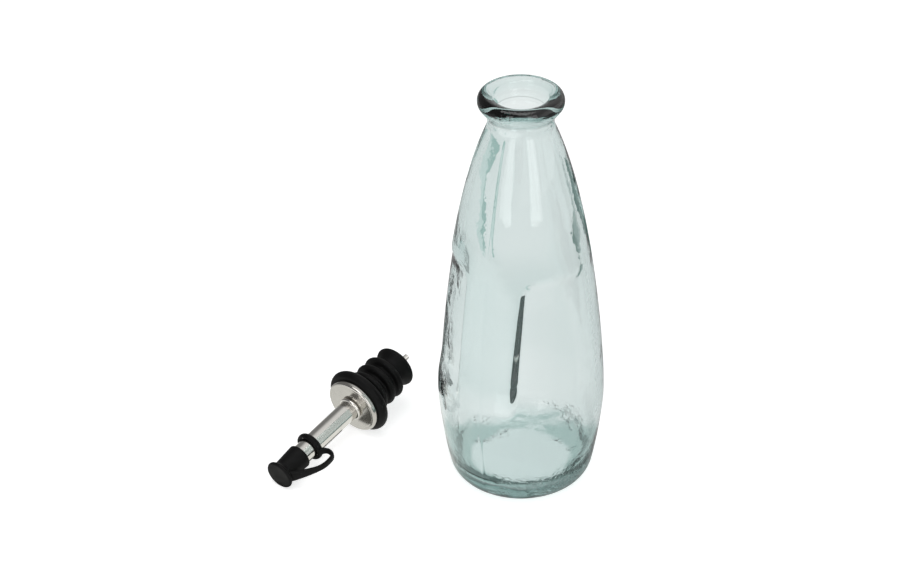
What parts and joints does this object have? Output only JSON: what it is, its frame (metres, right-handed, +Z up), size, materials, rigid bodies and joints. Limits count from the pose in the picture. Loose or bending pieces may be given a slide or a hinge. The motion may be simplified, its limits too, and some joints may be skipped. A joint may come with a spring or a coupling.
{
  "type": "oil bottle with pourer",
  "caption": "Tapered moulded glass bottle with a flared lip and recessed side panels, and its loose pourer: a capped steel spout in a ribbed rubber stopper.",
  "frame": {"origin": "middle of the bottle's flat base", "axes": "+Z up along the bottle's axis, -Y towards the front, where the raised band lies between the two recessed panels; the pourer lies at -X"},
  "size_m": [0.1512, 0.1191, 0.2199],
  "materials": {
    "glass": "clear pale aqua, fire polished",
    "polished_steel": "polished stainless",
    "satin_steel": "satin turned stainless",
    "rubber": "satin black moulded rubber"
  },
  "bodies": {
    "bottle": {"bottle_glass": "glass"},
    "pourer": {"spout_tube": "polished_steel", "spout_collar": "polished_steel", "flange_disc": "satin_steel", "stopper": "rubber", "air_tube": "satin_steel"},
    "tether": {"tether_ring": "rubber", "tether_strap": "rubber"},
    "cap": {"spout_cap": "rubber"}
  },
  "joints": [
    {"name": "pourer_lift", "type": "slide", "parent": "bottle", "child": "pourer", "axis": [0, 0, 1], "range_m": [0, 0.225]},
    {"name": "tether_turn", "type": "hinge", "parent": "pourer", "child": "tether", "pos_m": [-0.09701, -0.05054, 0.01174], "axis": [0.1713, 0.9718, 0.1623], "continuous": true},
    {"name": "cap_pull", "type": "slide", "parent": "tether", "child": "cap", "axis": [-0.1713, -0.9718, -0.1623], "range_m": [0, 0.0125], "deforming": ["tether_strap"]}
  ]
}
